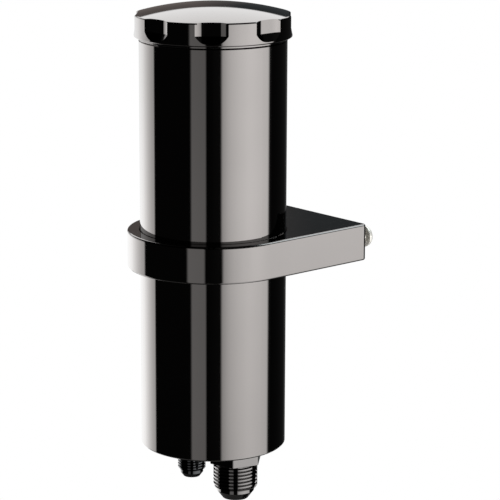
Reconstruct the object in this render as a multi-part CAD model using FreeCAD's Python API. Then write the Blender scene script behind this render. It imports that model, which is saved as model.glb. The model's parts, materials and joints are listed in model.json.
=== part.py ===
import FreeCAD, Part
import math
import os
from FreeCAD import Vector

# Remote power steering reservoir in its clamp bracket, in millimetres.
# The origin is the centre of the bracket's mounting face.
# +Y points out of that face, towards the panel it is fastened to, and +Z is up.
# Pieces that ride on the canister are built about its axis, from its underside up,
# and set in place at the end.
# A thread is plain: where it is engaged both sides lie at the pitch radius,
# and where it is bare it lies at the crest radius.

INCH = 25.4

# Fits
running_gap = 0.05
seal_gap = 0.08
seat_gap = 0.3
seal_corner_share = 0.28
bolt_gap = 0.22
cut_margin = 5.0
tiny = 1e-4

# Canister
tube_diameter = 2.875 * INCH
tube_wall = 3.2
canister_height = 205.4
base_thickness = 0.75 * INCH
base_edge_chamfer = 0.7
floor_chamfer = 2.5
mouth_chamfer = 0.5
mouth_thread_depth = 0.57
mouth_thread_length = 12.7
seal_seat_wall = 1.65
seal_seat_depth = 2.9

# Cap
cap_overhang = 2.4
cap_rim_height = 12.1
cap_dome_rise = 5.4
cap_rim_round = 0.8
plug_length = 11.2
plug_wall = 4.8
cap_recess_height = 7.5
cap_recess_chamfer = 2.5
notch_count = 8
notch_width = 16.1
notch_depth = 1.8
notch_floor_width = 7.0
notch_low = 2.0
notch_slope_height = 4.0
notch_turn = 3.6
cap_seal_section = 2.62
cap_groove_land = 0.1

# Bracket
bracket_thickness = 18.6
ring_wall = 0.25 * INCH
back_depth = 29.0
bracket_edge_round = 1.0
bracket_bore_chamfer = 0.5
bracket_corner_round = 2.4
grip_height = 101.05

# Screws of the bracket, quarter inch with twenty threads to the inch
screw_diameter = 0.25 * INCH
screw_thread_pitch = INCH / 20
set_screw_length = 0.5 * INCH
set_screw_socket_width = 0.125 * INCH
set_screw_socket_depth = 3.5
grip_pad_length = 3.0
mounting_spacing = 2.5 * INCH
mounting_screw_length = 0.75 * INCH
mounting_stand_off = 7.5
mounting_hole_depth = 14.5
button_diameter = 0.4375 * INCH
button_height = 3.35
button_crown_diameter = 5.6
button_side = 0.5
button_bulge = 0.6
button_socket_width = 0.15625 * INCH
button_socket_depth = 2.0
screw_tip_chamfer = 0.6

# Ports and hose fittings
flare_angle = 37.0

supply = {
    "offset": 17.4,
    "thread_diameter": 0.875 * INCH,
    "thread_pitch": INCH / 14,
    "hex_width": 24.2,
    "hex_height": 6.8,
    "hex_turn": 13.6,
    "bore": 11.6,
    "relief_length": 1.5,
    "thread_length": 11.2,
    "neck_diameter": 18.9,
    "neck_length": 2.4,
    "nose_diameter": 13.0,
    "port_thread_length": 9.0,
    "port_depth": 12.7,
    "seal_section": 2.0,
    "seal_neck_diameter": 18.6,
}

return_side = {
    "offset": 17.0,
    "thread_diameter": 0.5625 * INCH,
    "thread_pitch": INCH / 18,
    "hex_width": 0.6875 * INCH,
    "hex_height": 9.4,
    "hex_turn": 8.0,
    "bore": 7.5,
    "relief_length": 1.2,
    "thread_length": 8.5,
    "neck_diameter": 11.8,
    "neck_length": 2.1,
    "nose_diameter": 8.5,
    "port_thread_length": 8.0,
    "port_depth": 11.2,
    "seal_section": 1.8,
    "seal_neck_diameter": 11.5,
}

fitting_tip_chamfer = 0.8
run_out_share = 0.5
seal_recess_floor = 0.4

# Supply strainer and its retaining ring
outlet_diameter = 16.0
strainer_flange_diameter = 23.0
strainer_flange_thickness = 1.2
strainer_cup_diameter = 18.0
strainer_wall = 0.8
strainer_height = 22.0
strainer_slots = 12
strainer_slot_width = 2.2
strainer_slot_height = 13.0
strainer_slot_low = 4.5
strainer_seat_depth = 3.2
ring_section = 1.0
ring_width = 2.0
ring_groove_depth = 0.8
ring_gap_angle = 30.0

# Return standpipe
pipe_diameter = 0.375 * INCH
pipe_wall = 1.0
pipe_height = 76.0
pipe_seat_depth = 5.0
pipe_slots = 6
pipe_slot_width = 2.4
pipe_slot_height = 12.0
pipe_slot_drop = 6.0
pipe_plug_length = 4.0
pipe_plug_head = 1.5

# Baffle stack
rod_diameter = 0.25 * INCH
rod_engagement = 9.0
rod_hole_depth = 11.0
baffle_thickness = 2.0
lower_baffle_height = 42.0
upper_baffle_height = 98.0
baffle_edge_gap = 0.4
baffle_hole_diameter = 6.0
baffle_rows = ((12.0, 6), (26.0, 8))
baffle_row_turn = 30.0
spacer_diameter = 0.375 * INCH
baffle_washer_diameter = 16.0
washer_thickness = 1.6
nut_width = 0.4375 * INCH
nut_height = 5.6
rod_proud = 2.0

# Derived sizes
THREAD_DEPTH_SHARE = 0.3248


def pitch_radius(diameter, pitch):
    """Pitch radius of a sixty-degree thread."""
    return diameter / 2 - THREAD_DEPTH_SHARE * pitch


tube_r = tube_diameter / 2
bore_r = tube_r - tube_wall
mouth_r = bore_r + mouth_thread_depth
plug_r = mouth_r - running_gap
seal_seat_r = tube_r - seal_seat_wall
seal_ledge_z = canister_height - seal_seat_depth
cap_low_z = canister_height + seat_gap
cap_r = tube_r + cap_overhang
cap_rim_z = cap_low_z + cap_rim_height
cap_top_z = cap_rim_z + cap_dome_rise
cap_groove_z = seal_ledge_z + cap_groove_land
cap_seal_outer_r = seal_seat_r - seal_gap
cap_seal_inner_r = cap_seal_outer_r - cap_seal_section
cap_groove_r = cap_seal_inner_r - seal_gap
plug_low_z = cap_low_z - plug_length

grip_r = tube_r + running_gap
bracket_r = tube_r + ring_wall
axis_to_face = tube_r + back_depth
axis_y = -axis_to_face
bracket_half = bracket_thickness / 2
canister_place = Vector(0, axis_y, -grip_height)

screw_r = screw_diameter / 2
screw_pitch_r = pitch_radius(screw_diameter, screw_thread_pitch)
tapped_r = screw_pitch_r + running_gap
pad_tip_y = axis_y + grip_r
set_screw_y = pad_tip_y + grip_pad_length

rod_r = rod_diameter / 2
rod_pitch_r = pitch_radius(rod_diameter, screw_thread_pitch)
rod_tapped_r = rod_pitch_r + running_gap
rod_hole_r = rod_r + bolt_gap
lower_baffle_z = base_thickness + lower_baffle_height
upper_baffle_z = base_thickness + upper_baffle_height
stack_top_z = upper_baffle_z + baffle_thickness
nut_low_z = stack_top_z + washer_thickness
pipe_r = pipe_diameter / 2
pipe_low_z = base_thickness - pipe_seat_depth
pipe_top_z = base_thickness + pipe_height
strainer_seat_z = base_thickness - strainer_seat_depth
supply_x = supply["offset"]
return_x = -return_side["offset"]


def cylinder(radius, low, high, x=0.0, y=0.0):
    """Upright cylinder between two heights."""
    return Part.makeCylinder(radius, high - low, Vector(x, y, low))


def back_cylinder(radius, start_y, end_y, x=0.0):
    """Cylinder along Y at the bracket's mid height."""
    return Part.makeCylinder(radius, end_y - start_y, Vector(x, start_y, 0), Vector(0, 1, 0))


def lathe(outline):
    """Solid turned about Z from a closed outline of (radius, height) corners."""
    corners = [Vector(radius, 0, height) for radius, height in outline]
    face = Part.Face(Part.makePolygon(corners + corners[:1]))
    return face.revolve(Vector(0, 0, 0), Vector(0, 0, 1), 360)


def tube(outer_r, inner_r, low, high):
    """Plain tube about Z."""
    return cylinder(outer_r, low, high).cut(cylinder(inner_r, low, high))


def squeezed_ring(inner_r, outer_r, low, high):
    """O-ring about Z as it sits squeezed in its groove: flats where it is pressed, corners taken off."""
    corner = (outer_r - inner_r) * seal_corner_share
    return lathe([
        (inner_r + corner, low),
        (outer_r - corner, low),
        (outer_r, low + corner),
        (outer_r, high - corner),
        (outer_r - corner, high),
        (inner_r + corner, high),
        (inner_r, high - corner),
        (inner_r, low + corner),
    ])


def hexagon(width, low, high, turn=0.0):
    """Hexagonal prism about Z, by its width across flats."""
    corner_r = width / math.sqrt(3)
    corners = []
    for k in range(6):
        angle = math.radians(turn + 60 * k)
        corners.append(Vector(corner_r * math.cos(angle), corner_r * math.sin(angle), low))
    face = Part.Face(Part.makePolygon(corners + corners[:1]))
    return face.extrude(Vector(0, 0, high - low))


def around(shape, count, start=0.0):
    """Copies of a shape turned evenly about Z."""
    copies = []
    for k in range(count):
        copy = shape.copy()
        copy.rotate(Vector(0, 0, 0), Vector(0, 0, 1), start + 360.0 * k / count)
        copies.append(copy)
    return copies


def moved(shape, x=0.0, y=0.0, z=0.0):
    """Copy of a shape, shifted."""
    copy = shape.copy()
    copy.translate(Vector(x, y, z))
    return copy


def ring_edges(shape, radius, height):
    """Round edges of one radius at one height."""
    found = []
    for edge in shape.Edges:
        if edge.Degenerated or not isinstance(edge.Curve, Part.Circle):
            continue
        curve = edge.Curve
        if abs(curve.Radius - radius) < tiny and abs(curve.Center.z - height) < tiny:
            found.append(edge)
    return found


def port_cut(port, x):
    """Room for a fitting's thread and seal in the base."""
    recess_r = seal_outer_r(port) + running_gap
    recess_z = port["seal_section"] + seal_recess_floor
    thread_r = pitch_radius(port["thread_diameter"], port["thread_pitch"]) + running_gap
    recess = cylinder(recess_r, -cut_margin, recess_z)
    thread = cylinder(thread_r, 0, port["port_depth"])
    return moved(recess.fuse(thread), x)


def seal_outer_r(port):
    """Outer radius of the O-ring on a fitting's neck."""
    return port["seal_neck_diameter"] / 2 + running_gap + port["seal_section"]


def make_canister():
    """Plain tube and thick base in one piece, threaded at the mouth, with two ports below."""
    body = cylinder(tube_r, 0, canister_height)
    body = body.makeChamfer(base_edge_chamfer, ring_edges(body, tube_r, 0))
    body = body.makeChamfer(mouth_chamfer, ring_edges(body, tube_r, canister_height))
    inside = cylinder(bore_r, base_thickness, canister_height + cut_margin)
    inside = inside.makeChamfer(floor_chamfer, ring_edges(inside, bore_r, base_thickness))
    mouth = cylinder(mouth_r, canister_height - mouth_thread_length, canister_height + cut_margin)
    seat = cylinder(seal_seat_r, seal_ledge_z, canister_height + cut_margin)
    rod_hole = cylinder(rod_tapped_r, base_thickness - rod_hole_depth, base_thickness)
    outlet = cylinder(outlet_diameter / 2, 0, base_thickness, supply_x)
    strainer_seat_r = strainer_flange_diameter / 2 + running_gap
    strainer_seat = cylinder(strainer_seat_r, strainer_seat_z, base_thickness, supply_x)
    groove_low = strainer_seat_z + strainer_flange_thickness + running_gap
    groove_r = strainer_seat_r + ring_groove_depth
    groove_high = groove_low + ring_section + running_gap
    groove = cylinder(groove_r, groove_low, groove_high, supply_x)
    pipe_seat = cylinder(pipe_r + running_gap, pipe_low_z, base_thickness, return_x)
    inlet = cylinder(return_side["bore"] / 2, 0, base_thickness, return_x)
    cuts = [inside, mouth, seat, rod_hole, outlet, strainer_seat, groove, pipe_seat, inlet]
    cuts += [port_cut(supply, supply_x), port_cut(return_side, return_x)]
    return body.cut(cuts)


def notch_cutter():
    """Finger notch on the +X side: flat floor, hollow flanks, open above and sloping out below."""
    floor_x = cap_r - notch_depth
    out_x = cap_r + notch_depth
    half = notch_width / 2
    floor_half = notch_floor_width / 2
    run = half - floor_half
    rise = math.sqrt(cap_r ** 2 - half ** 2) - floor_x
    flank_r = (run ** 2 + rise ** 2) / (2 * rise)
    flank_angle = math.asin(run / flank_r)
    out_half = half + (out_x - floor_x - rise) / math.tan(flank_angle)
    flank_x = floor_x + flank_r * (1 - math.cos(flank_angle / 2))
    flank_y = floor_half + flank_r * math.sin(flank_angle / 2)
    slope_z = cap_low_z + notch_low + notch_slope_height
    path = [(out_x, out_half), (floor_x + rise, half), (flank_x, flank_y), (floor_x, floor_half)]
    right = [Vector(x, y, slope_z) for x, y in path]
    left = [Vector(x, -y, slope_z) for x, y in path]
    edges = [
        Part.LineSegment(right[0], right[1]).toShape(),
        Part.Arc(right[1], right[2], right[3]).toShape(),
        Part.LineSegment(right[3], left[3]).toShape(),
        Part.Arc(left[3], left[2], left[1]).toShape(),
        Part.LineSegment(left[1], left[0]).toShape(),
        Part.LineSegment(left[0], right[0]).toShape(),
    ]
    face = Part.Face(Part.Wire(edges))
    upright = face.extrude(Vector(0, 0, cap_top_z + cut_margin - slope_z))
    fall = notch_slope_height / notch_depth
    slope = face.extrude(Vector(1, 0, -fall) * (out_x - floor_x))
    return upright.fuse(slope)


def make_cap():
    """Domed cap with finger notches round its rim and a hollow threaded plug below."""
    dome_r = (cap_r ** 2 + cap_dome_rise ** 2) / (2 * cap_dome_rise)
    dome_z = cap_top_z - dome_r
    rim_x = cap_r - cap_rim_round
    rim_z = dome_z + math.sqrt((dome_r - cap_rim_round) ** 2 - rim_x ** 2)
    dome_angle = math.atan2(rim_x, rim_z - dome_z)
    rim_angle = (dome_angle + math.pi / 2) / 2
    lower_z = cap_low_z + cap_overhang
    recess_r = plug_r - plug_wall
    recess_top = cap_low_z + cap_recess_height

    def about(centre_x, centre_z, radius, angle):
        return Vector(centre_x + radius * math.sin(angle), 0, centre_z + radius * math.cos(angle))

    top = Vector(0, 0, cap_top_z)
    dome_middle = about(0, dome_z, dome_r, dome_angle / 2)
    dome_end = about(0, dome_z, dome_r, dome_angle)
    rim_middle = about(rim_x, rim_z, cap_rim_round, rim_angle)
    rim_end = Vector(cap_r, 0, rim_z)
    lower_start = Vector(cap_r, 0, lower_z)
    lower_middle = about(tube_r, lower_z, cap_overhang, math.radians(135))
    lower_end = Vector(tube_r, 0, cap_low_z)
    edges = [
        Part.Arc(top, dome_middle, dome_end).toShape(),
        Part.Arc(dome_end, rim_middle, rim_end).toShape(),
        Part.LineSegment(rim_end, lower_start).toShape(),
        Part.Arc(lower_start, lower_middle, lower_end).toShape(),
    ]
    below = [
        (tube_r, cap_low_z),
        (cap_groove_r, cap_low_z),
        (cap_groove_r, cap_groove_z),
        (plug_r, cap_groove_z),
        (plug_r, plug_low_z + mouth_chamfer),
        (plug_r - mouth_chamfer, plug_low_z),
        (recess_r, plug_low_z),
        (recess_r, recess_top - cap_recess_chamfer),
        (recess_r - cap_recess_chamfer, recess_top),
        (0, recess_top),
        (0, cap_top_z),
    ]
    edges += Part.makePolygon([Vector(radius, 0, height) for radius, height in below]).Edges
    blank = Part.Face(Part.Wire(edges)).revolve(Vector(0, 0, 0), Vector(0, 0, 1), 360)
    return blank.cut(around(notch_cutter(), notch_count, notch_turn))


def make_cap_oring():
    """Seal carried in the groove above the plug's thread."""
    low = cap_groove_z + running_gap
    return squeezed_ring(cap_seal_inner_r, cap_seal_outer_r, low, low + cap_seal_section)


def make_bracket():
    """D-shaped block of plate: a ring round the canister that runs into a square mounting block."""
    low = -bracket_half
    right_front = Vector(bracket_r, axis_y, low)
    right_back = Vector(bracket_r, 0, low)
    left_back = Vector(-bracket_r, 0, low)
    left_front = Vector(-bracket_r, axis_y, low)
    front = Vector(0, axis_y - bracket_r, low)
    edges = [
        Part.LineSegment(right_front, right_back).toShape(),
        Part.LineSegment(right_back, left_back).toShape(),
        Part.LineSegment(left_back, left_front).toShape(),
        Part.Arc(left_front, front, right_front).toShape(),
    ]
    block = Part.Face(Part.Wire(edges)).extrude(Vector(0, 0, bracket_thickness))
    corners = []
    for edge in block.Edges:
        box = edge.BoundBox
        if box.ZLength > tiny and box.YMin > -tiny:
            corners.append(edge)
    block = block.makeFillet(bracket_corner_round, corners)
    rims = [edge for edge in block.Edges if edge.BoundBox.ZLength < tiny]
    block = block.makeFillet(bracket_edge_round, rims)
    block = block.cut(cylinder(grip_r, -bracket_half - cut_margin, bracket_half + cut_margin, 0, axis_y))
    bore_rims = ring_edges(block, grip_r, -bracket_half) + ring_edges(block, grip_r, bracket_half)
    block = block.makeChamfer(bracket_bore_chamfer, bore_rims)
    cuts = [back_cylinder(tapped_r, axis_y, cut_margin)]
    for x in (-mounting_spacing / 2, mounting_spacing / 2):
        cuts.append(back_cylinder(tapped_r, -mounting_hole_depth, cut_margin, x))
    return block.cut(cuts)


def screw_shank(bare_length, total_length):
    """Shank hanging below a head at height zero: bare thread first, then the engaged length."""
    return lathe([
        (0, 0),
        (screw_r, 0),
        (screw_r, -bare_length),
        (screw_pitch_r, -bare_length),
        (screw_pitch_r, screw_tip_chamfer - total_length),
        (screw_pitch_r - screw_tip_chamfer, -total_length),
        (0, -total_length),
    ])


def make_set_screw():
    """Headless screw in the mounting block that presses the pad on the canister."""
    low = -set_screw_length
    screw = lathe([
        (0, 0),
        (screw_pitch_r - screw_tip_chamfer, 0),
        (screw_pitch_r, -screw_tip_chamfer),
        (screw_pitch_r, low + screw_tip_chamfer),
        (screw_pitch_r - screw_tip_chamfer, low),
        (0, low),
    ])
    screw = screw.cut(hexagon(set_screw_socket_width, -set_screw_socket_depth, 0))
    screw.rotate(Vector(0, 0, 0), Vector(1, 0, 0), -90)
    return moved(screw, 0, set_screw_y + set_screw_length)


def make_grip_pad():
    """Soft pad between the set screw and the canister, which keeps the finish unmarked."""
    return back_cylinder(screw_pitch_r, pad_tip_y, set_screw_y)


def make_mounting_screw(x):
    """Button head screw run part way into the mounting face, as left before the panel is fitted."""
    head_r = button_diameter / 2
    crown_r = button_crown_diameter / 2
    side = Vector(head_r, 0, button_side)
    crown = Vector(crown_r, 0, button_height)
    sag = (side + crown) / 2 + Vector(button_bulge, 0, button_bulge)
    centre_top = Vector(0, 0, button_height)
    centre = Vector(0, 0, 0)
    rim = Vector(head_r, 0, 0)
    edges = [
        Part.LineSegment(centre, rim).toShape(),
        Part.LineSegment(rim, side).toShape(),
        Part.Arc(side, sag, crown).toShape(),
        Part.LineSegment(crown, centre_top).toShape(),
        Part.LineSegment(centre_top, centre).toShape(),
    ]
    head = Part.Face(Part.Wire(edges)).revolve(centre, Vector(0, 0, 1), 360)
    socket = hexagon(button_socket_width, button_height - button_socket_depth, button_height)
    screw = head.fuse(screw_shank(mounting_stand_off, mounting_screw_length)).cut(socket)
    screw.rotate(Vector(0, 0, 0), Vector(1, 0, 0), -90)
    return moved(screw, x, mounting_stand_off)


def make_fitting(port, x):
    """Adapter with a sealed thread above its hexagon and a 37 degree flare end below."""
    crest_r = port["thread_diameter"] / 2
    root_r = pitch_radius(port["thread_diameter"], port["thread_pitch"])
    seal_neck_r = port["seal_neck_diameter"] / 2
    neck_r = port["neck_diameter"] / 2
    nose_r = port["nose_diameter"] / 2
    port_low = port["seal_section"] + seal_recess_floor
    port_high = port_low + port["port_thread_length"]
    hex_low = -port["hex_height"]
    thread_high = hex_low - port["relief_length"]
    thread_low = thread_high - port["thread_length"]
    neck_low = thread_low - port["neck_length"]
    nose_low = neck_low - (neck_r - nose_r) / math.tan(math.radians(flare_angle))
    body = lathe([
        (0, port_high),
        (root_r - fitting_tip_chamfer, port_high),
        (root_r, port_high - fitting_tip_chamfer),
        (root_r, port_low),
        (seal_neck_r, port_low),
        (seal_neck_r, 0),
        (neck_r, 0),
        (neck_r, thread_high + (crest_r - neck_r)),
        (crest_r, thread_high),
        (crest_r, thread_low),
        (neck_r, thread_low - (crest_r - neck_r) * run_out_share),
        (neck_r, neck_low),
        (nose_r, nose_low),
        (0, nose_low),
    ])
    nut = hexagon(port["hex_width"], hex_low, 0, port["hex_turn"])
    bore = cylinder(port["bore"] / 2, nose_low - cut_margin, port_high + cut_margin)
    return moved(body.fuse(nut).cut(bore), x)


def make_fitting_oring(port, x):
    """O-ring on the fitting's neck, in the port's recess."""
    inner_r = port["seal_neck_diameter"] / 2 + running_gap
    high = running_gap + port["seal_section"]
    return moved(squeezed_ring(inner_r, seal_outer_r(port), running_gap, high), x)


def make_supply_strainer():
    """Slotted cup over the outlet, with a flange that drops into a seat in the floor."""
    cup_r = strainer_cup_diameter / 2
    low = strainer_seat_z
    high = low + strainer_height
    flange = cylinder(strainer_flange_diameter / 2, low, low + strainer_flange_thickness)
    cup = cylinder(cup_r, low, high)
    hollow = cylinder(cup_r - strainer_wall, low, high - strainer_wall)
    slot = Part.makeBox(2 * cup_r, strainer_slot_width, strainer_slot_height)
    slot.translate(Vector(0, -strainer_slot_width / 2, low + strainer_slot_low))
    strainer = flange.fuse(cup).cut([hollow] + around(slot, strainer_slots))
    return moved(strainer, supply_x)


def make_strainer_ring():
    """Open snap ring that holds the strainer's flange down."""
    low = strainer_seat_z + strainer_flange_thickness + running_gap
    outer_r = strainer_flange_diameter / 2 + ring_groove_depth
    ring = tube(outer_r, outer_r - ring_width, low, low + ring_section)
    gap = Part.makeCylinder(2 * outer_r, ring_section, Vector(0, 0, low), Vector(0, 0, 1), ring_gap_angle)
    return moved(ring.cut(gap), supply_x)


def make_return_standpipe():
    """Pipe that carries returned fluid up past the lower baffle and lets it out sideways."""
    inner_r = pipe_r - pipe_wall
    pipe = tube(pipe_r, inner_r, pipe_low_z + running_gap, pipe_top_z)
    slot = Part.makeBox(2 * pipe_r, pipe_slot_width, pipe_slot_height)
    slot_low = pipe_top_z - pipe_slot_drop - pipe_slot_height
    slot.translate(Vector(0, -pipe_slot_width / 2, slot_low))
    return moved(pipe.cut(around(slot, pipe_slots)), return_x)


def make_standpipe_plug():
    """Plug in the standpipe's top, which turns the flow sideways."""
    plug_r_in = pipe_r - pipe_wall - running_gap
    stem = cylinder(plug_r_in, pipe_top_z - pipe_plug_length, pipe_top_z)
    head = cylinder(pipe_r, pipe_top_z, pipe_top_z + pipe_plug_head)
    return moved(stem.fuse(head), return_x)


def make_baffle_rod():
    """Stud screwed into the floor, which carries the two baffles."""
    low = base_thickness - rod_engagement
    high = nut_low_z + nut_height + rod_proud
    return lathe([
        (0, low),
        (rod_pitch_r, low),
        (rod_pitch_r, base_thickness),
        (rod_r, base_thickness),
        (rod_r, nut_low_z),
        (rod_pitch_r, nut_low_z),
        (rod_pitch_r, high),
        (0, high),
    ])


def make_baffle(low, pipe_passes):
    """Drilled plate that stills the fluid and lets its air out."""
    plate = cylinder(bore_r - baffle_edge_gap, low, low + baffle_thickness)
    holes = [cylinder(rod_hole_r, low, low + baffle_thickness)]
    if pipe_passes:
        holes.append(cylinder(pipe_r + seat_gap, low, low + baffle_thickness, return_x))
    for row_r, count in baffle_rows:
        hole = cylinder(baffle_hole_diameter / 2, low, low + baffle_thickness, row_r)
        for copy in around(hole, count, baffle_row_turn):
            reach = copy.CenterOfMass.sub(Vector(return_x, 0, copy.CenterOfMass.z)).Length
            if not pipe_passes or reach > pipe_r + baffle_hole_diameter:
                holes.append(copy)
    return plate.cut(holes)


def make_spacer(low, high):
    """Tube on the rod that keeps two pieces apart."""
    return tube(spacer_diameter / 2, rod_hole_r, low, high)


def make_baffle_washer():
    """Washer between the upper baffle and the nut."""
    return tube(baffle_washer_diameter / 2, rod_hole_r, stack_top_z, nut_low_z)


def make_baffle_nut():
    """Nut that clamps the baffle stack."""
    nut = hexagon(nut_width, nut_low_z, nut_low_z + nut_height)
    return nut.cut(cylinder(rod_tapped_r, nut_low_z, nut_low_z + nut_height))


# Pieces that stay with the bracket, in the object's own frame
bracket_pieces = {
    "bracket": make_bracket(),
    "set_screw": make_set_screw(),
    "grip_pad": make_grip_pad(),
    "mounting_screw_left": make_mounting_screw(-mounting_spacing / 2),
    "mounting_screw_right": make_mounting_screw(mounting_spacing / 2),
}

# Pieces built about the canister's axis
canister_pieces = {
    "canister": make_canister(),
    "cap": make_cap(),
    "cap_oring": make_cap_oring(),
    "supply_fitting": make_fitting(supply, supply_x),
    "supply_oring": make_fitting_oring(supply, supply_x),
    "return_fitting": make_fitting(return_side, return_x),
    "return_oring": make_fitting_oring(return_side, return_x),
    "supply_strainer": make_supply_strainer(),
    "strainer_ring": make_strainer_ring(),
    "return_standpipe": make_return_standpipe(),
    "standpipe_plug": make_standpipe_plug(),
    "baffle_rod": make_baffle_rod(),
    "lower_baffle": make_baffle(lower_baffle_z, True),
    "upper_baffle": make_baffle(upper_baffle_z, False),
    "lower_spacer": make_spacer(base_thickness, lower_baffle_z),
    "upper_spacer": make_spacer(lower_baffle_z + baffle_thickness, upper_baffle_z),
    "baffle_washer": make_baffle_washer(),
    "baffle_nut": make_baffle_nut(),
}

os.makedirs("parts", exist_ok=True)
for name, shape in bracket_pieces.items():
    shape.exportStep("parts/" + name + ".step")
for name, shape in canister_pieces.items():
    shape.translate(canister_place)
    shape.exportStep("parts/" + name + ".step")
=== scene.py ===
import json
import math
import bpy
import bmesh
from mathutils import Matrix, Vector

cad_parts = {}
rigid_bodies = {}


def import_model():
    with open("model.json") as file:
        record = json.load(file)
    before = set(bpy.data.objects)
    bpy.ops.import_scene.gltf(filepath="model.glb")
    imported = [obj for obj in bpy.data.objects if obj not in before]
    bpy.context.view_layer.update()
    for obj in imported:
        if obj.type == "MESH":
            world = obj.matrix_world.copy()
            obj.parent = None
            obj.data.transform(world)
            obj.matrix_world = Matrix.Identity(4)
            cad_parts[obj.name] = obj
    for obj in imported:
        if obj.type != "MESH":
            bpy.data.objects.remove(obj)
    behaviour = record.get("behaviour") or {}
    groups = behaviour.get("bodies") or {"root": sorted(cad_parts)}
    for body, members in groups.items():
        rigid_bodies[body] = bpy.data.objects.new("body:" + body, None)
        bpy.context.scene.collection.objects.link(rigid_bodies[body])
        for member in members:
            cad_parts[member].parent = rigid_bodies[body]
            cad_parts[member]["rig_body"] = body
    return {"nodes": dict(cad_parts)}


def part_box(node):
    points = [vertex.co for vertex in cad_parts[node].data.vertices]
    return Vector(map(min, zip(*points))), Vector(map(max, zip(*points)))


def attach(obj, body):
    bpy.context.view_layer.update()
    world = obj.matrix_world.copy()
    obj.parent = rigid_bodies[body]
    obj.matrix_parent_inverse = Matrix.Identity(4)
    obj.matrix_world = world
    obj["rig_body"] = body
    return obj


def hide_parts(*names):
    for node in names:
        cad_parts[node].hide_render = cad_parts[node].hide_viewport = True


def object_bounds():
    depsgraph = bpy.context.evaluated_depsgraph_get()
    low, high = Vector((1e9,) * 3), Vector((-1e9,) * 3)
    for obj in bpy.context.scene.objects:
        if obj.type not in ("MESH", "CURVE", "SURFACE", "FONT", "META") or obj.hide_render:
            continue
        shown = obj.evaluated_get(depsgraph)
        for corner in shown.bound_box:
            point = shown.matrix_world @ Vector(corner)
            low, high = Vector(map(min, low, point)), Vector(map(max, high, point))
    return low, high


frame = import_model()
cad_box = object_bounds()

# A remote power steering reservoir: gloss black canister, domed cap and plate bracket,
# black anodised hose fittings and bright button head screws.
# Lengths are in metres, in the part's own frame. Angles are in degrees unless they say otherwise.

MM = 0.001
INCH = 25.4 * MM

nodes = frame["nodes"]
canister_low, canister_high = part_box("canister")
axis_x = (canister_low.x + canister_high.x) / 2
axis_y = (canister_low.y + canister_high.y) / 2

# Camera of the photograph, measured from the canister's axis and underside
CAMERA_DISTANCE = 1.1145
CAMERA_HEIGHT = 0.3610
CAMERA_PITCH = math.radians(13.22)
CAMERA_AZIMUTH = math.radians(49.565)
CAMERA_LENS_MM = 164.8
SENSOR_MM = 36.0
CAMERA_SHIFT = 0.0738
CAMERA_REACH = 50.0

# Floor, far enough below for the mirror finish to look past its rim
FLOOR_DROP = 0.90
FLOOR_RADIUS = 0.45
FLOOR_SIDES = 128
FLOOR_ROUGHNESS = 0.9
FLOOR_COLOUR = (0.86, 0.86, 0.85, 1)
# Colour of the floor where metal reflects it: a painted dark reflection, far darker than the floor itself
FLOOR_PAINTED_DARK_IN_MIRROR = (0.20, 0.19, 0.18, 1)

# Shares of a thread's pitch: the flats at crest and root,
# and the depths of the root and of the pitch line below the crest
THREAD_FLANK = math.radians(30)
CREST_SHARE = 0.38
ROOT_SHARE = 0.03
THREAD_DEPTH_SHARE = (1 - CREST_SHARE - ROOT_SHARE) / 2 / math.tan(THREAD_FLANK)
PITCH_LINE_SHARE = 0.3248

# Hose fittings, measured down from the canister's underside
FITTINGS = {
    "supply": {
        "finish": "black_anodised",
        "thread_diameter": 0.875 * INCH,
        "thread_pitch": INCH / 14,
        "hex_width": 24.2 * MM,
        "hex_height": 6.8 * MM,
        "hex_turn": 13.6,
        "bore": 11.6 * MM,
        "relief_length": 1.5 * MM,
        "thread_length": 11.2 * MM,
        "neck_diameter": 18.9 * MM,
        "neck_length": 2.4 * MM,
        "nose_diameter": 13.0 * MM,
        "port_thread_length": 9.0 * MM,
        "seal_section": 2.0 * MM,
        "seal_neck_diameter": 18.6 * MM,
    },
    "return": {
        # The return fitting's finish is the fitting black darkened: painted shade where the supply
        # fitting blocks its light
        "finish": "painted_shade_anodised",
        "thread_diameter": 0.5625 * INCH,
        "thread_pitch": INCH / 18,
        "hex_width": 0.6875 * INCH,
        "hex_height": 9.4 * MM,
        "hex_turn": 8.0,
        "bore": 7.5 * MM,
        "relief_length": 1.2 * MM,
        "thread_length": 8.5 * MM,
        "neck_diameter": 11.8 * MM,
        "neck_length": 2.1 * MM,
        "nose_diameter": 8.5 * MM,
        "port_thread_length": 8.0 * MM,
        "seal_section": 1.8 * MM,
        "seal_neck_diameter": 11.5 * MM,
    },
}
FLARE_ANGLE = 37.0
SEAL_RECESS_FLOOR = 0.4 * MM
RUN_OUT_SHARE = 0.5
TIP_CHAMFER = 0.8 * MM
BORE_BREAK = 0.25 * MM
HEX_BREAK = 0.22 * MM
# Half the angle that the round of a hexagon's corner takes up
HEX_CORNER_HALF = 0.7

# Button head screws, measured along their own axis from under the head
SCREW_DIAMETER = 0.25 * INCH
SCREW_PITCH = INCH / 20
SCREW_LENGTH = 0.75 * INCH
SCREW_STAND_OFF = 7.5 * MM
SCREW_TIP_CHAMFER = 0.6 * MM
SCREW_BREAK = 0.12 * MM
THREAD_FADE = 0.7 * MM
BUTTON_DIAMETER = 0.4375 * INCH
BUTTON_HEIGHT = 3.35 * MM
BUTTON_CROWN_DIAMETER = 5.6 * MM
BUTTON_SIDE = 0.5 * MM
BUTTON_BULGE = 0.6 * MM
SOCKET_WIDTH = 0.15625 * INCH
SOCKET_DEPTH = 2.0 * MM
SOCKET_BREAK = 0.15 * MM
SOCKET_CORNER_HALF = 1.5

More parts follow.
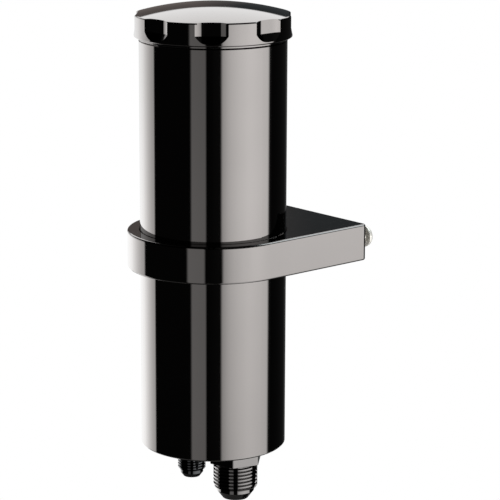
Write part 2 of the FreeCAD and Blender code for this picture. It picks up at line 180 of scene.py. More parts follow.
# Cap, measured from its rim's underside, and out from the canister's outside where it stands out
CAP_OVERHANG = 2.4 * MM
CAP_RIM_HEIGHT = 12.1 * MM
CAP_DOME_RISE = 5.4 * MM
CAP_RIM_ROUND = 0.8 * MM
CAP_LIP_OUT = 0.35 * MM
CAP_LIP_HEIGHT = 0.76 * MM
CAP_LOWER_ROUND_TOP = 1.65 * MM
CAP_LIP_BREAK = 0.1 * MM
CAP_GROOVE_RADIUS = 32.08 * MM
CAP_GROOVE_DEPTH = 3.1 * MM
CAP_RECESS_HEIGHT = 7.5 * MM
CAP_RECESS_CHAMFER = 2.5 * MM
PLUG_RADIUS = 33.83 * MM
PLUG_WALL = 4.8 * MM
PLUG_CHAMFER = 0.5 * MM

# Finger notches: a flat floor between two round flanks, and a slope at the foot
NOTCH_COUNT = 8
NOTCH_TURN = 3.6
NOTCH_WIDTH = 16.1 * MM
NOTCH_FLOOR_WIDTH = 7.0 * MM
NOTCH_DEPTH = 1.8 * MM
NOTCH_LOW = 2.0 * MM
NOTCH_SLOPE_HEIGHT = 4.0 * MM
NOTCH_FALL = NOTCH_SLOPE_HEIGHT / NOTCH_DEPTH

# Angle of each side of a hexagon
HEX_SECTOR = 60.0
# Mesh steps: along each side of a hexagon, then over the button head and the cap
FITTING_STEPS = 20
SCREW_STEPS = 12
CROWN_STEPS = 12
DOME_STEPS = 24
RIM_STEPS = 8
LOWER_ROUND_STEPS = 12
SLOPE_STEPS = 5
FLOOR_STEPS = 8
FLANK_STEPS = 8
LAND_STEPS = 14
# Halvings that find where a notch's slope ends
HALVINGS = 30
# Rows this far from a round keep its shading off the flat beside it
HOLD = 0.1 * MM
# Points nearer than this are merged in a turned mesh
MERGE = 1e-7
# Edges sharper than this stay crisp in a turned mesh
SHARP_ANGLE = 32.0
CAP_SHARP_ANGLE = 20.0

# Noise in the finishes: its scales and details, and the span that most of its values lie in
NOISE_SPAN = (0.3, 0.7)
CLOUD_DETAIL = 3.0
GRAIN_DETAIL = 4.0
HAZE_DETAIL = 5.0
GLOSS_CLOUD = 26.0
GLOSS_HAZE = 60.0
DARK_CLOUD = 50.0
DARK_GRAIN = 400.0
BRIGHT_GRAIN = 500.0
PLASTIC_CLOUD = 90.0
PLASTIC_SKIN = 1800.0
# Stretch of the noise along each axis
EVEN = (1, 1, 1)
DRAWN = (1, 1, 0.05)
# Shares of a finish's shade at the low and the high end of its noise
GLOSS_SHARES = (0.95, 1.05)
DARK_SHARES = (0.85, 1.15)
BRIGHT_SHARES = (0.90, 1.0)
PLASTIC_SHARES = (0.90, 1.0)
# Strength and depth of the bumps
DARK_BUMP = (0.15, 0.02 * MM)
BRIGHT_BUMP = (0.10, 0.02 * MM)
PLASTIC_BUMP = (0.25, 0.03 * MM)
# Shades and roughness. Polished black anodising is a dark mirror with a faint warm cast.
GLOSS_ROUGHNESS = (0.030, 0.060)
POLISHED_BLACK = (0.108, 0.102, 0.099)
FITTING_BLACK = (0.100, 0.096, 0.094)
# The fitting black darkened about threefold and cooled, for the return fitting: painted shade where the
# supply fitting blocks its light
PAINTED_SHADE_BLACK = (0.032, 0.033, 0.034)

# Width of the soft edge of each light in the surroundings
EDGE_SOFT = 1.5
# Largest number that a curve can give
CURVE_TOP = 1.5


def photo_direction(side, away, up=0.0):
    """Vector in the part's frame from its parts across the picture, away from the camera and up."""
    return Vector((
        side * math.cos(CAMERA_AZIMUTH) - away * math.sin(CAMERA_AZIMUTH),
        side * math.sin(CAMERA_AZIMUTH) + away * math.cos(CAMERA_AZIMUTH),
        up,
    ))


def make_camera():
    """Camera at the photograph's viewing angle."""
    camera = bpy.data.objects.new("camera", bpy.data.cameras.new("camera"))
    bpy.context.scene.collection.objects.link(camera)
    camera.data.lens = CAMERA_LENS_MM
    camera.data.sensor_width = SENSOR_MM
    camera.data.shift_x = CAMERA_SHIFT
    camera.data.clip_end = CAMERA_REACH
    foot = Vector((axis_x, axis_y, canister_low.z))
    camera.location = foot + photo_direction(0, -CAMERA_DISTANCE, CAMERA_HEIGHT)
    look = photo_direction(0, math.cos(CAMERA_PITCH), -math.sin(CAMERA_PITCH))
    camera.rotation_euler = look.to_track_quat("-Z", "Y").to_euler()
    bpy.context.scene.camera = camera


class Graph:
    """Short way to write a node tree."""

    def __init__(self, tree):
        """Starts from an empty tree."""
        self.tree = tree
        self.tree.nodes.clear()

    def node(self, kind, **settings):
        """New node with its settings."""
        made = self.tree.nodes.new(kind)
        for key, value in settings.items():
            setattr(made, key, value)
        return made

    def join(self, source, target):
        """Link from an output to an input."""
        self.tree.links.new(source, target)

    def math(self, operation, first, second=None):
        """Result of a math node for one or two values, each a number or an output."""
        made = self.node("ShaderNodeMath", operation=operation)
        for socket, value in zip(made.inputs, (first, second)):
            if value is None:
                continue
            if isinstance(value, (int, float)):
                socket.default_value = value
            else:
                self.join(value, socket)
        return made.outputs[0]

    def dot(self, vector, direction):
        """Part of a vector that lies along a direction."""
        made = self.node("ShaderNodeVectorMath", operation="DOT_PRODUCT")
        self.join(vector, made.inputs[0])
        made.inputs[1].default_value = direction
        return made.outputs["Value"]

    def spread(self, value, low, high, to_low=0.0, to_high=1.0):
        """Value moved from one range to another and held inside it."""
        made = self.node("ShaderNodeMapRange")
        self.join(value, made.inputs["Value"])
        made.inputs["From Min"].default_value = low
        made.inputs["From Max"].default_value = high
        made.inputs["To Min"].default_value = to_low
        made.inputs["To Max"].default_value = to_high
        return made.outputs["Result"]

    def ramp(self, value, stops):
        """Colour by a value between nought and one, straight between its stops."""
        made = self.node("ShaderNodeValToRGB")
        elements = made.color_ramp.elements
        while len(elements) < len(stops):
            elements.new(1.0)
        for element, (place, colour) in zip(elements, stops):
            element.position = place
            element.color = colour
        self.join(value, made.inputs["Fac"])
        return made.outputs["Color"]

    def mix(self, factor, first, second):
        """Colour between two, each a tuple or an output."""
        made = self.node("ShaderNodeMix", data_type="RGBA")
        self.join(factor, made.inputs["Factor"])
        for name, value in (("A", first), ("B", second)):
            socket = [s for s in made.inputs if s.name == name and s.type == "RGBA"][0]
            if isinstance(value, tuple):
                socket.default_value = value
            else:
                self.join(value, socket)
        return [s for s in made.outputs if s.type == "RGBA"][0]

    def degrees(self, value):
        """Angle in degrees from one in radians."""
        return self.math("DEGREES", value)

    def step(self, value, edge):
        """Nought below an edge in degrees and one above it."""
        return self.spread(value, edge - EDGE_SOFT / 2, edge + EDGE_SOFT / 2)

    def window(self, turn, sides, rise, heights):
        """One inside a rectangle of two angles and nought outside it."""
        inside = self.math("SUBTRACT", self.step(turn, sides[0]), self.step(turn, sides[1]))
        level = self.math("SUBTRACT", self.step(rise, heights[0]), self.step(rise, heights[1]))
        return self.math("MULTIPLY", inside, level)

    def light_ramp(self, angle, stops):
        """Light by an angle between -180 and 180 degrees."""
        places = [((at + 180) / 360, grey(light)) for at, light in stops]
        return self.ramp(self.spread(angle, -180, 180), places)

    def curve(self, angle, stops):
        """Number by an angle, straight between its stops."""
        made = self.node("ShaderNodeFloatCurve")
        low, high = stops[0][0], stops[-1][0]
        points = made.mapping.curves[0].points
        while len(points) < len(stops):
            points.new(0.5, 0.5)
        for point, (at, value) in zip(points, stops):
            point.location = ((at - low) / (high - low), value / CURVE_TOP)
            point.handle_type = "VECTOR"
        made.mapping.update()
        self.join(self.spread(angle, low, high), made.inputs["Value"])
        return self.math("MULTIPLY", made.outputs[0], CURVE_TOP)

    def scale(self, colour, share):
        """Colour times a number."""
        made = self.node("ShaderNodeVectorMath", operation="SCALE")
        self.join(colour, made.inputs[0])
        self.join(share, made.inputs["Scale"])
        return made.outputs["Vector"]


# What stands round the object, in degrees: azimuth 0 is towards the camera of the photograph
# and 90 to its right. Each stop gives the light there.
BAND_PEAK = 4.8
AROUND = [
    (-180.0, 1.0), (-165.0, 1.5), (-149.0, 2.7), (-139.0, 3.5), (-130.0, 3.68), (-123.0, 3.5),
    (-117.0, 3.2), (-111.0, 2.8), (-105.5, 2.5), (-103.0, 0.01), (-35.5, 0.01), (-33.0, 0.86),
    (-12.0, 0.80), (-10.0, 0.01), (11.6, 0.02), (14.6, 1.96), (22.0, 2.68), (28.0, 3.08),
    (35.0, 3.36), (41.0, 3.60), (48.0, 3.76), (55.0, 3.96), (62.0, 4.00), (70.0, 3.90),
    (78.0, 3.72), (86.0, 3.60), (94.5, 3.20), (98.5, 0.05), (104.0, 0.01), (150.0, 0.02),
    (172.0, 0.12), (180.0, 1.0),
]
# Share of the light round the object that is left at each elevation, to the right and to the left
RIGHT_FALL = [
    (-80.0, 0.75), (-24.0, 0.78), (-17.0, 1.0), (-11.5, 1.18), (-2.0, 1.2), (3.0, 0.60),
    (13.0, 0.45), (17.0, 0.01), (30.0, 0.01),
]
LEFT_FALL = [
    (-60.0, 0.70), (-17.0, 1.0), (-13.0, 1.0), (-8.0, 0.86), (2.0, 0.60), (15.0, 0.38), (18.0, 0.01),
    (30.0, 0.01),
]
# Below these elevations there is only the ground's light
RIGHT_LOW = -80.0
LEFT_LOW = -42.0
GROUND_LIGHT = 0.12
# Behind the part the ground reaches up to here
GROUND_FROM = 150.0
GROUND_HIGH = -22.0
# The wall behind is dark between the low light and the sky
REAR_FROM = 160.0
WALL_LOW = -6.0
WALL_HIGH = 17.4
WALL_SIDES = (-0.03, 0.045)
WALL_LEFT = (0.175, 0.150, 0.141)
WALL_RIGHT = (0.050, 0.055, 0.058)
# Light overhead, by the angle from the horizon behind, over the top, towards the camera
OVERHEAD = [(0.0, 1.8), (14.0, 1.8), (20.0, 2.2), (35.0, 3.1), (43.0, 2.9), (50.0, 0.02), (180.0, 0.02)]
SKY_FROM = 144.0
# A cool window high on the right
WINDOW_SIDES = (93.0, 142.0)
WINDOW_HEIGHTS = (30.0, 56.0)
WINDOW = (4.5, 5.0, 5.2)


def grey(value):
    """Neutral light as a share of the brightest band."""
    return tint((value, value, value))


def tint(colour):
    """Coloured light as a share of the brightest band."""
    return tuple(part / BAND_PEAK for part in colour) + (1,)


def surroundings(graph):
    """Colour of the studio by direction: lights, dark cards, a wall, a window and the ground."""
    direction = graph.node("ShaderNodeTexCoord").outputs["Generated"]
    right = graph.dot(direction, photo_direction(1, 0))
    near = graph.dot(direction, photo_direction(0, -1))
    away = graph.dot(direction, photo_direction(0, 1))
    up = graph.dot(direction, (0, 0, 1))
    turn = graph.degrees(graph.math("ARCTAN2", right, near))
    rise = graph.degrees(graph.math("ARCSINE", up))
    over = graph.degrees(graph.math("ARCTAN2", up, away))

    bands = graph.light_ramp(turn, AROUND)
    on_right = graph.step(turn, 0.0)
    around = graph.mix(
        on_right,
        graph.scale(bands, graph.curve(rise, LEFT_FALL)),
        graph.scale(bands, graph.curve(rise, RIGHT_FALL)),
    )
    behind = graph.math("ABSOLUTE", turn)
    wall = graph.mix(graph.spread(right, *WALL_SIDES), tint(WALL_LEFT), tint(WALL_RIGHT))
    in_wall = graph.math("MULTIPLY", graph.step(behind, REAR_FROM), graph.step(rise, WALL_LOW))
    level = graph.mix(in_wall, around, wall)
    sky = graph.light_ramp(over, OVERHEAD)
    in_sky = graph.math("MULTIPLY", graph.step(behind, SKY_FROM), graph.step(rise, WALL_HIGH))
    upper = graph.mix(in_sky, level, sky)
    upper = graph.mix(graph.window(turn, WINDOW_SIDES, rise, WINDOW_HEIGHTS), upper, tint(WINDOW))
    raised = graph.mix(on_right, graph.step(rise, LEFT_LOW), graph.step(rise, RIGHT_LOW))
    studio = graph.mix(raised, grey(GROUND_LIGHT), upper)
    low = graph.math("SUBTRACT", 1.0, graph.step(rise, GROUND_HIGH))
    in_ground = graph.math("MULTIPLY", graph.step(behind, GROUND_FROM), low)
    return graph.mix(in_ground, studio, grey(GROUND_LIGHT))


def make_world():
    """White for the camera, and the studio for everything else."""
    world = bpy.data.worlds.new("studio")
    world.use_nodes = True
    bpy.context.scene.world = world
    graph = Graph(world.node_tree)
    lit = graph.node("ShaderNodeBackground")
    graph.join(surroundings(graph), lit.inputs["Color"])
    lit.inputs["Strength"].default_value = BAND_PEAK
    white = graph.node("ShaderNodeBackground")
    white.inputs["Color"].default_value = (1, 1, 1, 1)
    seen = graph.node("ShaderNodeLightPath").outputs["Is Camera Ray"]
    choose = graph.node("ShaderNodeMixShader")
    graph.join(seen, choose.inputs[0])
    graph.join(lit.outputs[0], choose.inputs[1])
    graph.join(white.outputs[0], choose.inputs[2])
    output = graph.node("ShaderNodeOutputWorld")
    graph.join(choose.outputs[0], output.inputs["Surface"])


def new_material(name):
    """Material with a node graph and its Principled shader."""
    material = bpy.data.materials.new(name + "_finish")
    material.use_nodes = True
    graph = Graph(material.node_tree)
    shader = graph.node("ShaderNodeBsdfPrincipled")
    output = graph.node("ShaderNodeOutputMaterial")
    graph.join(shader.outputs[0], output.inputs["Surface"])
    return material, graph, shader


def noise(graph, scale, detail=CLOUD_DETAIL, stretch=EVEN):
    """Noise in the part's own frame, stretched along an axis where it is a grain."""
    place = graph.node("ShaderNodeTexCoord").outputs["Object"]
    mapping = graph.node("ShaderNodeMapping")
    mapping.inputs["Scale"].default_value = stretch
    graph.join(place, mapping.inputs["Vector"])
    made = graph.node("ShaderNodeTexNoise")
    made.inputs["Scale"].default_value = scale
    made.inputs["Detail"].default_value = detail
    graph.join(mapping.outputs[0], made.inputs["Vector"])
    return made.outputs["Fac"]


def mottle(graph, shader, pattern, shade, shares):
    """Base colour by a pattern, between two shares of a shade."""
    dark, light = [tuple(share * part for part in shade) + (1,) for share in shares]
    graph.join(graph.mix(pattern, dark, light), shader.inputs["Base Color"])


def sheen(graph, shader, pattern, roughness):
    """Roughness by a pattern, between two values."""
    graph.join(graph.spread(pattern, *NOISE_SPAN, *roughness), shader.inputs["Roughness"])


def bump(graph, shader, pattern, strength, depth):
    """Fine relief by a pattern."""
    made = graph.node("ShaderNodeBump")
    made.inputs["Strength"].default_value = strength
    made.inputs["Distance"].default_value = depth
    graph.join(pattern, made.inputs["Height"])
    graph.join(made.outputs[0], shader.inputs["Normal"])


def gloss_black(name, shade):
    """Polished black anodising: a dark mirror with a barely uneven gloss."""
    material, graph, shader = new_material(name)
    shader.inputs["Metallic"].default_value = 1.0
    mottle(graph, shader, noise(graph, GLOSS_CLOUD), shade, GLOSS_SHARES)
    sheen(graph, shader, noise(graph, GLOSS_HAZE, HAZE_DETAIL), GLOSS_ROUGHNESS)
    return material


def dark_metal(name, shade, roughness):
    """Dark metal with a fine uneven sheen."""
    material, graph, shader = new_material(name)
    shader.inputs["Metallic"].default_value = 1.0
    mottle(graph, shader, noise(graph, DARK_CLOUD), shade, DARK_SHARES)
    fine = noise(graph, DARK_GRAIN, HAZE_DETAIL)
    sheen(graph, shader, fine, roughness)
    bump(graph, shader, fine, *DARK_BUMP)
    return material


def bright_metal(name, shade, roughness, stretch=EVEN, metallic=1.0):
    """Bright metal with a drawn or an even grain, a satin one where it is less metallic."""
    material, graph, shader = new_material(name)
    shader.inputs["Metallic"].default_value = metallic
    grain = noise(graph, BRIGHT_GRAIN, GRAIN_DETAIL, stretch)
    mottle(graph, shader, grain, shade, BRIGHT_SHARES)
    sheen(graph, shader, grain, roughness)
    bump(graph, shader, grain, *BRIGHT_BUMP)
    return material


def soft_plastic(name, shade, roughness):
    """Moulded rubber or plastic with a fine skin."""
    material, graph, shader = new_material(name)
    mottle(graph, shader, noise(graph, PLASTIC_CLOUD), shade, PLASTIC_SHARES)
    skin = noise(graph, PLASTIC_SKIN, GRAIN_DETAIL)
    sheen(graph, shader, skin, roughness)
    bump(graph, shader, skin, *PLASTIC_BUMP)
    return material


def make_materials():
    """One material for each material slot of the record, and a darker copy of the fitting black for the
    return fitting, as painted shade.
    """
    return {
        "gloss_black": gloss_black("gloss_black", POLISHED_BLACK),
        "gloss_black_cap": gloss_black("gloss_black_cap", POLISHED_BLACK),
        "gloss_black_bracket": gloss_black("gloss_black_bracket", POLISHED_BLACK),
        "black_anodised": gloss_black("black_anodised", FITTING_BLACK),
        # A darker copy of the fitting black: painted shade on the return fitting
        "painted_shade_anodised": gloss_black("painted_shade_anodised", PAINTED_SHADE_BLACK),
        "stainless": bright_metal("stainless", (0.69, 0.67, 0.62), (0.40, 0.50), metallic=0.5),
        "steel_black": dark_metal("steel_black", (0.07, 0.07, 0.075), (0.35, 0.5)),
        "bare_aluminium": bright_metal("bare_aluminium", (0.80, 0.81, 0.82), (0.22, 0.36), DRAWN),
        "seal_rubber": soft_plastic("seal_rubber", (0.022, 0.022, 0.024), (0.45, 0.6)),
        "nylon": soft_plastic("nylon", (0.80, 0.78, 0.72), (0.35, 0.5)),
    }


def dress_nodes(materials):
    """Gives each CAD node the material of its slot."""
    for piece in nodes.values():
        for place in piece.material_slots:
            place.material = materials[place.material.name]


def sector_angles(per_sector, turn, corner_half):
    """Angles round a hexagon, in radians, with a pair of points at each rounded corner."""
    angles = []
    step = (HEX_SECTOR - 2 * corner_half) / per_sector
    for k in range(6):
        corner = HEX_SECTOR * k + turn
        angles.append(math.radians(corner - corner_half))
        angles += [math.radians(corner + corner_half + step * i) for i in range(per_sector)]
    return angles


def hexagon_row(width, height, turn, corner_half):
    """Hexagonal row of a turned mesh, its corners cut back a little."""
    limit = width / 2 / math.cos(math.radians(HEX_SECTOR / 2 - corner_half))

    def row(angle):
        past = (math.degrees(angle) - turn) % HEX_SECTOR
        return min(width / 2 / math.cos(math.radians(past - HEX_SECTOR / 2)), limit), height
    return row


def round_row(radius, height):
    """Round row of a turned mesh."""
    def row(angle):
        return radius, height
    return row


def limit_at(outline, height):
    """Radius of an outline of (radius, height) corners, from the top down, at one height."""
    for (upper_r, upper_z), (lower_r, lower_z) in zip(outline, outline[1:]):
        if height >= lower_z:
            share = (upper_z - height) / (upper_z - lower_z)
            return upper_r + (lower_r - upper_r) * share
    return outline[-1][0]


def thread_rows(crest_r, pitch, outline):
    """Rows of a sixty degree thread, from the top down, cut off by an outline at both ends."""
    root_r = crest_r - THREAD_DEPTH_SHARE * pitch
    top = outline[0][1]
    bottom = outline[-1][1]
    crest_half = CREST_SHARE * pitch / 2
    root_half = ROOT_SHARE * pitch / 2
    profile = [
        (-crest_half, crest_r),
        (crest_half, crest_r),
        (pitch / 2 - root_half, root_r),
        (pitch / 2 + root_half, root_r),
    ]

    def thread_row(start, radius):
        def row(angle):
            height = start + pitch * angle / (2 * math.pi)
            height = min(max(height, bottom), top)
            return min(radius, limit_at(outline, height)), height
        return row

    rows = []
    # From a turn above the outline to past its foot. The outline cuts off what is outside it.
    for k in range(-1, math.ceil((top - bottom) / pitch) + 3):
        rows += [thread_row(top - k * pitch - drop, radius) for drop, radius in profile]
    return rows


def turned_mesh(name, rows, angles, closed, sharp=SHARP_ANGLE):
    """Mesh round the z axis, from rows that each give (radius, height) by angle."""
    columns = angles + [angles[0] + 2 * math.pi]
    made = bmesh.new()
    grid = []
    for row in rows:
        line = []
        for angle in columns:
            radius, height = row(angle)
            line.append(made.verts.new((radius * math.cos(angle), radius * math.sin(angle), height)))
        grid.append(line)
    pairs = list(zip(grid, grid[1:]))
    if closed:
        pairs.append((grid[-1], grid[0]))
    for upper, lower in pairs:
        for i in range(len(angles)):
            made.faces.new((upper[i], lower[i], lower[i + 1], upper[i + 1]))
    bmesh.ops.remove_doubles(made, verts=made.verts, dist=MERGE)
    bmesh.ops.dissolve_degenerate(made, edges=made.edges, dist=MERGE)
    bmesh.ops.recalc_face_normals(made, faces=made.faces)
    mesh = bpy.data.meshes.new(name)
    made.to_mesh(mesh)
    made.free()
    mesh.shade_smooth()
    mesh.set_sharp_from_angle(angle=math.radians(sharp))
    piece = bpy.data.objects.new(name, mesh)
    bpy.context.scene.collection.objects.link(piece)
    return piece


def settle(piece, material, node):
    """Gives a piece its finish and lets it stand for a CAD node on that node's body."""
    piece.data.materials.append(material)
    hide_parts(node)
    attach(piece, nodes[node]["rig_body"])


def fitting_rows(size):
    """Rows of a hose adapter about its own axis, from its seat on the canister's underside."""
    crest_r = size["thread_diameter"] / 2
    pitch = size["thread_pitch"]
    engaged_r = crest_r - PITCH_LINE_SHARE * pitch
    seal_neck_r = size["seal_neck_diameter"] / 2
    neck_r = size["neck_diameter"] / 2
    nose_r = size["nose_diameter"] / 2
    bore_r = size["bore"] / 2
    port_low = size["seal_section"] + SEAL_RECESS_FLOOR
    port_high = port_low + size["port_thread_length"]
    hex_low = -size["hex_height"]
    thread_high = hex_low - size["relief_length"]
    thread_low = thread_high - size["thread_length"]
    run_out = (crest_r - neck_r) * RUN_OUT_SHARE
    neck_low = thread_low - size["neck_length"]
    nose_low = neck_low - (neck_r - nose_r) / math.tan(math.radians(FLARE_ANGLE))
    width = size["hex_width"]
    turn = size["hex_turn"]
    under_r = crest_r - (hex_low - thread_high)
    rows = [
        round_row(bore_r + BORE_BREAK, port_high),
        round_row(engaged_r - TIP_CHAMFER, port_high),
        round_row(engaged_r, port_high - TIP_CHAMFER),
        round_row(engaged_r, port_low),
        round_row(seal_neck_r, port_low),
        round_row(seal_neck_r, 0),
        hexagon_row(width - 2 * HEX_BREAK, 0, turn, HEX_CORNER_HALF),
        hexagon_row(width, -HEX_BREAK, turn, HEX_CORNER_HALF),
        hexagon_row(width, hex_low + HEX_BREAK, turn, HEX_CORNER_HALF),
        hexagon_row(width - 2 * HEX_BREAK, hex_low, turn, HEX_CORNER_HALF),
    ]
    outline = [
        (under_r, hex_low),
        (crest_r, thread_high),
        (crest_r, thread_low),
        (neck_r, thread_low - run_out),
    ]
    rows += thread_rows(crest_r, pitch, outline)
    rows += [
        round_row(neck_r, neck_low),
        round_row(nose_r, nose_low),
        round_row(bore_r + BORE_BREAK, nose_low),
        round_row(bore_r, nose_low + BORE_BREAK),
        round_row(bore_r, port_high - BORE_BREAK),
    ]
    return rows


def make_fitting(side, size, material):
    """Hose adapter: sealed thread above its hexagon, long thread and 37 degree flare below."""
    angles = sector_angles(FITTING_STEPS, size["hex_turn"], HEX_CORNER_HALF)
    piece = turned_mesh(side + "_adapter", fitting_rows(size), angles, True)
    low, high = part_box(side + "_oring")
    piece.data.transform(Matrix.Translation(((low.x + high.x) / 2, axis_y, canister_low.z)))
    settle(piece, material, side + "_fitting")


def crown_rows():
    """Rows of the button head's crown, an arc that bulges out between its top and its side."""
    head_r = BUTTON_DIAMETER / 2
    crown_r = BUTTON_CROWN_DIAMETER / 2
    drop = BUTTON_HEIGHT - BUTTON_SIDE
    run = head_r - crown_r
    middle = Vector(((head_r + crown_r) / 2, (BUTTON_SIDE + BUTTON_HEIGHT) / 2))
    chord = math.hypot(run, drop)
    outward = Vector((drop, run)) / chord
    bulge = Vector((BUTTON_BULGE, BUTTON_BULGE)).dot(outward)
    arc_r = (chord ** 2 / 4 + bulge ** 2) / (2 * bulge)
    centre = middle - outward * (arc_r - bulge)
    start = math.atan2(BUTTON_HEIGHT - centre.y, crown_r - centre.x)
    end = math.atan2(BUTTON_SIDE - centre.y, head_r - centre.x)
    angles = [start + (end - start) * i / CROWN_STEPS for i in range(CROWN_STEPS + 1)]
    return [
        round_row(centre.x + arc_r * math.cos(angle), centre.y + arc_r * math.sin(angle))
        for angle in angles
    ]


def make_mounting_screw(side, material):
    """Button head screw with a hexagon socket, its bare thread between the head and the face."""
    head_r = BUTTON_DIAMETER / 2
    engaged_r = SCREW_DIAMETER / 2 - PITCH_LINE_SHARE * SCREW_PITCH
    root_r = SCREW_DIAMETER / 2 - THREAD_DEPTH_SHARE * SCREW_PITCH
    socket_low = BUTTON_HEIGHT - SOCKET_DEPTH
    rows = [
        round_row(0, socket_low),
        hexagon_row(SOCKET_WIDTH, socket_low, 0, SOCKET_CORNER_HALF),
        hexagon_row(SOCKET_WIDTH, BUTTON_HEIGHT - SOCKET_BREAK, 0, SOCKET_CORNER_HALF),
        hexagon_row(SOCKET_WIDTH + 2 * SOCKET_BREAK, BUTTON_HEIGHT, 0, SOCKET_CORNER_HALF),
    ]
    rows += crown_rows()
    rows += [round_row(head_r, SCREW_BREAK), round_row(head_r - SCREW_BREAK, 0)]
    outline = [
        (root_r, 0),
        (SCREW_DIAMETER / 2, -THREAD_FADE),
        (SCREW_DIAMETER / 2, THREAD_FADE / 2 - SCREW_STAND_OFF),
        (root_r, -SCREW_STAND_OFF),
    ]
    rows += thread_rows(SCREW_DIAMETER / 2, SCREW_PITCH, outline)
    rows += [
        round_row(engaged_r, -SCREW_STAND_OFF),
        round_row(engaged_r, SCREW_TIP_CHAMFER - SCREW_LENGTH),
        round_row(engaged_r - SCREW_TIP_CHAMFER, -SCREW_LENGTH),
        round_row(0, -SCREW_LENGTH),
    ]
    angles = sector_angles(SCREW_STEPS, 0, SOCKET_CORNER_HALF)
    piece = turned_mesh("button_screw_" + side, rows, angles, False)
    low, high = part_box("mounting_screw_" + side)
    place = Matrix.Translation(((low.x + high.x) / 2, high.y - BUTTON_HEIGHT, 0))
    piece.data.transform(place @ Matrix.Rotation(-math.pi / 2, 4, "X"))
    settle(piece, material, "mounting_screw_" + side)


class CapForm:
    """Form of the cap about its axis. Its methods give rows of a turned mesh and their angles."""

    def __init__(self):
        """Works the cap's radii, heights and angles out from its node and the canister's."""
        low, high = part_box("cap")
        tube_r = (canister_high.x - canister_low.x) / 2
        self.cap_r = tube_r + CAP_OVERHANG
        self.lip_r = tube_r + CAP_LIP_OUT
        self.low = low.z
        self.base = high.z - CAP_DOME_RISE - CAP_RIM_HEIGHT
        self.lip_top = self.base + CAP_LIP_HEIGHT
        self.round_top = self.base + CAP_LOWER_ROUND_TOP

        self.dome_r = (self.cap_r ** 2 + CAP_DOME_RISE ** 2) / (2 * CAP_DOME_RISE)
        self.dome_z = high.z - self.dome_r
        within = self.dome_r - CAP_RIM_ROUND
        self.rim_x = self.cap_r - CAP_RIM_ROUND
        self.rim_z = self.dome_z + math.sqrt(within ** 2 - self.rim_x ** 2)
        self.dome_angle = math.asin(self.rim_x / within)
        self.dome_end = self.dome_r * math.sin(self.dome_angle)

        self.floor_x = self.cap_r - NOTCH_DEPTH
        self.floor_half = NOTCH_FLOOR_WIDTH / 2
        notch_half = NOTCH_WIDTH / 2
        run = notch_half - self.floor_half
        rise = math.sqrt(self.cap_r ** 2 - notch_half ** 2) - self.floor_x
        self.flank_r = (run ** 2 + rise ** 2) / (2 * rise)
        self.slope_z = self.base + NOTCH_LOW + NOTCH_SLOPE_HEIGHT
        self.sector = 2 * math.pi / NOTCH_COUNT
        self.turn = math.radians(NOTCH_TURN)
        self.half_angle = math.asin(notch_half / self.cap_r)
        self.floor_angle = math.atan2(self.floor_half, self.floor_x)

    def top_height(self, radius):
        """Height of the dome and the rim's round."""
        if radius <= self.dome_end:
            return self.dome_z + math.sqrt(self.dome_r ** 2 - radius ** 2)
        return self.rim_z + math.sqrt(max(CAP_RIM_ROUND ** 2 - (radius - self.rim_x) ** 2, 0))

    def side_radius(self, height):
        """Radius of the rim and the round below it."""
        share = max(self.round_top - height, 0) / (self.round_top - self.lip_top)
        return self.lip_r + (self.cap_r - self.lip_r) * math.sqrt(max(1 - share ** 2, 0))

    def wall_radius(self, angle, out=0.0):
        """Radius of a notch's wall, moved outwards, or of the rim where there is no notch."""
        past = (angle - self.turn) % self.sector
        past = min(past, self.sector - past)
        if past >= self.half_angle:
            return self.cap_r
        flat = (self.floor_x + out) / math.cos(past)
        if flat * math.sin(past) <= self.floor_half:
            return min(flat, self.cap_r)
        centre = Vector((self.floor_x + out + self.flank_r, self.floor_half))
        along = centre.dot(Vector((math.cos(past), math.sin(past))))
        reach = math.sqrt(along ** 2 - centre.length_squared + self.flank_r ** 2)
        return min(along - reach, self.cap_r)

    def foot_out(self, angle):
        """How far the slope runs outwards before it meets the rim or its lower round."""
        # Twice the notch's depth is past the foot at every angle
        inside, outside = 0.0, 2 * NOTCH_DEPTH
        for _ in range(HALVINGS):
            middle = (inside + outside) / 2
            if self.wall_radius(angle, middle) < self.side_radius(self.slope_z - NOTCH_FALL * middle):
                inside = middle
            else:
                outside = middle
        return inside

    def dome_row(self, share):
        """Row of the dome, at a share of the way to its end or to a notch."""
        def row(angle):
            radius = share * min(self.dome_end, self.wall_radius(angle))
            return radius, self.top_height(radius)
        return row

    def rim_row(self, limit):
        """Row of the rim's round, held back by the notches."""
        def row(angle):
            radius = min(limit, self.wall_radius(angle))
            return radius, self.top_height(radius)
        return row

    def upright_row(self, height):
        """Row of the rim and the notches' walls."""
        def row(angle):
            radius = self.wall_radius(angle)
            return radius, min(height, self.top_height(radius))
        return row

    def slope_row(self, share):
        """Row of the notches' slopes, at a share of the way to their feet."""
        def row(angle):
            out = share * self.foot_out(angle)
            height = self.slope_z - NOTCH_FALL * out
            return min(self.wall_radius(angle, out), self.side_radius(height)), height
        return row

    def side_row(self, height):
        """Row of the rim below the notches and of the round under it."""
        def row(angle):
            lower = min(height, self.slope_z - NOTCH_FALL * self.foot_out(angle))
            return self.side_radius(lower), lower
        return row

    def outer_rows(self):
        """Rows from the dome's middle down to the lip."""
        quarter = math.pi / 2
        rows = [self.dome_row(math.sin(quarter * k / DOME_STEPS)) for k in range(DOME_STEPS + 1)]
        for k in range(1, RIM_STEPS + 1):
            angle = self.dome_angle + (quarter - self.dome_angle) * k / RIM_STEPS
            rows.append(self.rim_row(self.rim_x + CAP_RIM_ROUND * math.sin(angle)))
        for height in (self.rim_z - HOLD, self.slope_z + HOLD, self.slope_z):
            rows.append(self.upright_row(height))
        rows += [self.slope_row(k / SLOPE_STEPS) for k in range(1, SLOPE_STEPS + 1)]
        rows.append(self.side_row(self.round_top + HOLD))
        for k in range(LOWER_ROUND_STEPS + 1):
            angle = quarter * k / LOWER_ROUND_STEPS
            rows.append(self.side_row(self.round_top - (self.round_top - self.lip_top) * math.sin(angle)))
        return rows

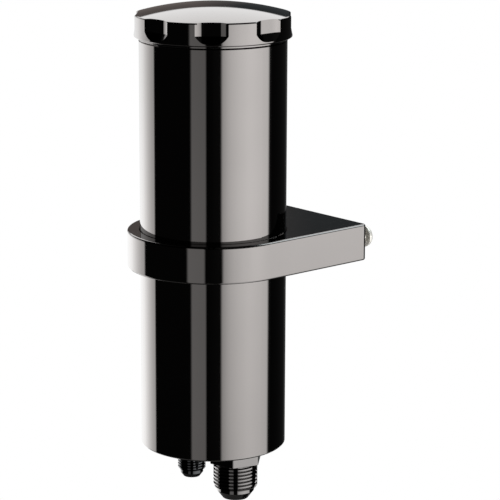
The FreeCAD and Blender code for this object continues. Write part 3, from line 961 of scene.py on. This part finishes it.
    def inner_rows(self):
        """Rows from the lip's foot over the plug and into its hollow."""
        recess_r = PLUG_RADIUS - PLUG_WALL
        recess_top = self.base + CAP_RECESS_HEIGHT
        return [round_row(radius, height) for radius, height in (
            (self.lip_r, self.base + CAP_LIP_BREAK),
            (self.lip_r - CAP_LIP_BREAK, self.base),
            (CAP_GROOVE_RADIUS, self.base),
            (CAP_GROOVE_RADIUS, self.base - CAP_GROOVE_DEPTH),
            (PLUG_RADIUS, self.base - CAP_GROOVE_DEPTH),
            (PLUG_RADIUS, self.low + PLUG_CHAMFER),
            (PLUG_RADIUS - PLUG_CHAMFER, self.low),
            (recess_r, self.low),
            (recess_r, recess_top - CAP_RECESS_CHAMFER),
            (recess_r - CAP_RECESS_CHAMFER, recess_top),
            (0, recess_top),
        )]

    def angles(self):
        """Angles round the cap, in radians, closest together on the notches' flanks."""
        stops = [
            (-self.half_angle, FLANK_STEPS),
            (-self.floor_angle, FLOOR_STEPS),
            (self.floor_angle, FLANK_STEPS),
            (self.half_angle, LAND_STEPS),
            (self.sector - self.half_angle, 0),
        ]
        angles = []
        for k in range(NOTCH_COUNT):
            first = self.turn + self.sector * k
            for (start, steps), (end, _) in zip(stops, stops[1:]):
                angles += [first + start + (end - start) * i / steps for i in range(steps)]
        return angles


def make_cap(material):
    """Domed cap with scooped finger notches round its rim, a thin lip below it and a hollow plug."""
    form = CapForm()
    rows = form.outer_rows() + form.inner_rows()
    piece = turned_mesh("domed_cap", rows, form.angles(), False, CAP_SHARP_ANGLE)
    piece.data.transform(Matrix.Translation((axis_x, axis_y, 0)))
    settle(piece, material, "cap")


def make_floor():
    """Plain pale floor below the part, painted dark where metal reflects it."""
    made = bmesh.new()
    bmesh.ops.create_circle(made, cap_ends=True, segments=FLOOR_SIDES, radius=FLOOR_RADIUS)
    mesh = bpy.data.meshes.new("floor")
    made.to_mesh(mesh)
    made.free()
    floor = bpy.data.objects.new("floor", mesh)
    bpy.context.scene.collection.objects.link(floor)
    floor.location = (axis_x, axis_y, cad_box[0].z - FLOOR_DROP)
    material, graph, shader = new_material("floor")
    in_mirror = graph.node("ShaderNodeLightPath").outputs["Is Glossy Ray"]
    # Glossy rays see the floor painted dark: painted shade in its reflection on the metal
    graph.join(graph.mix(in_mirror, FLOOR_COLOUR, FLOOR_PAINTED_DARK_IN_MIRROR), shader.inputs["Base Color"])
    shader.inputs["Roughness"].default_value = FLOOR_ROUGHNESS
    mesh.materials.append(material)


make_camera()
make_world()
make_floor()
materials = make_materials()
dress_nodes(materials)
for side, size in FITTINGS.items():
    make_fitting(side, size, materials[size["finish"]])
for side in ("left", "right"):
    make_mounting_screw(side, materials["stainless"])
make_cap(materials["gloss_black_cap"])

bpy.context.scene.view_settings.view_transform = "Standard"
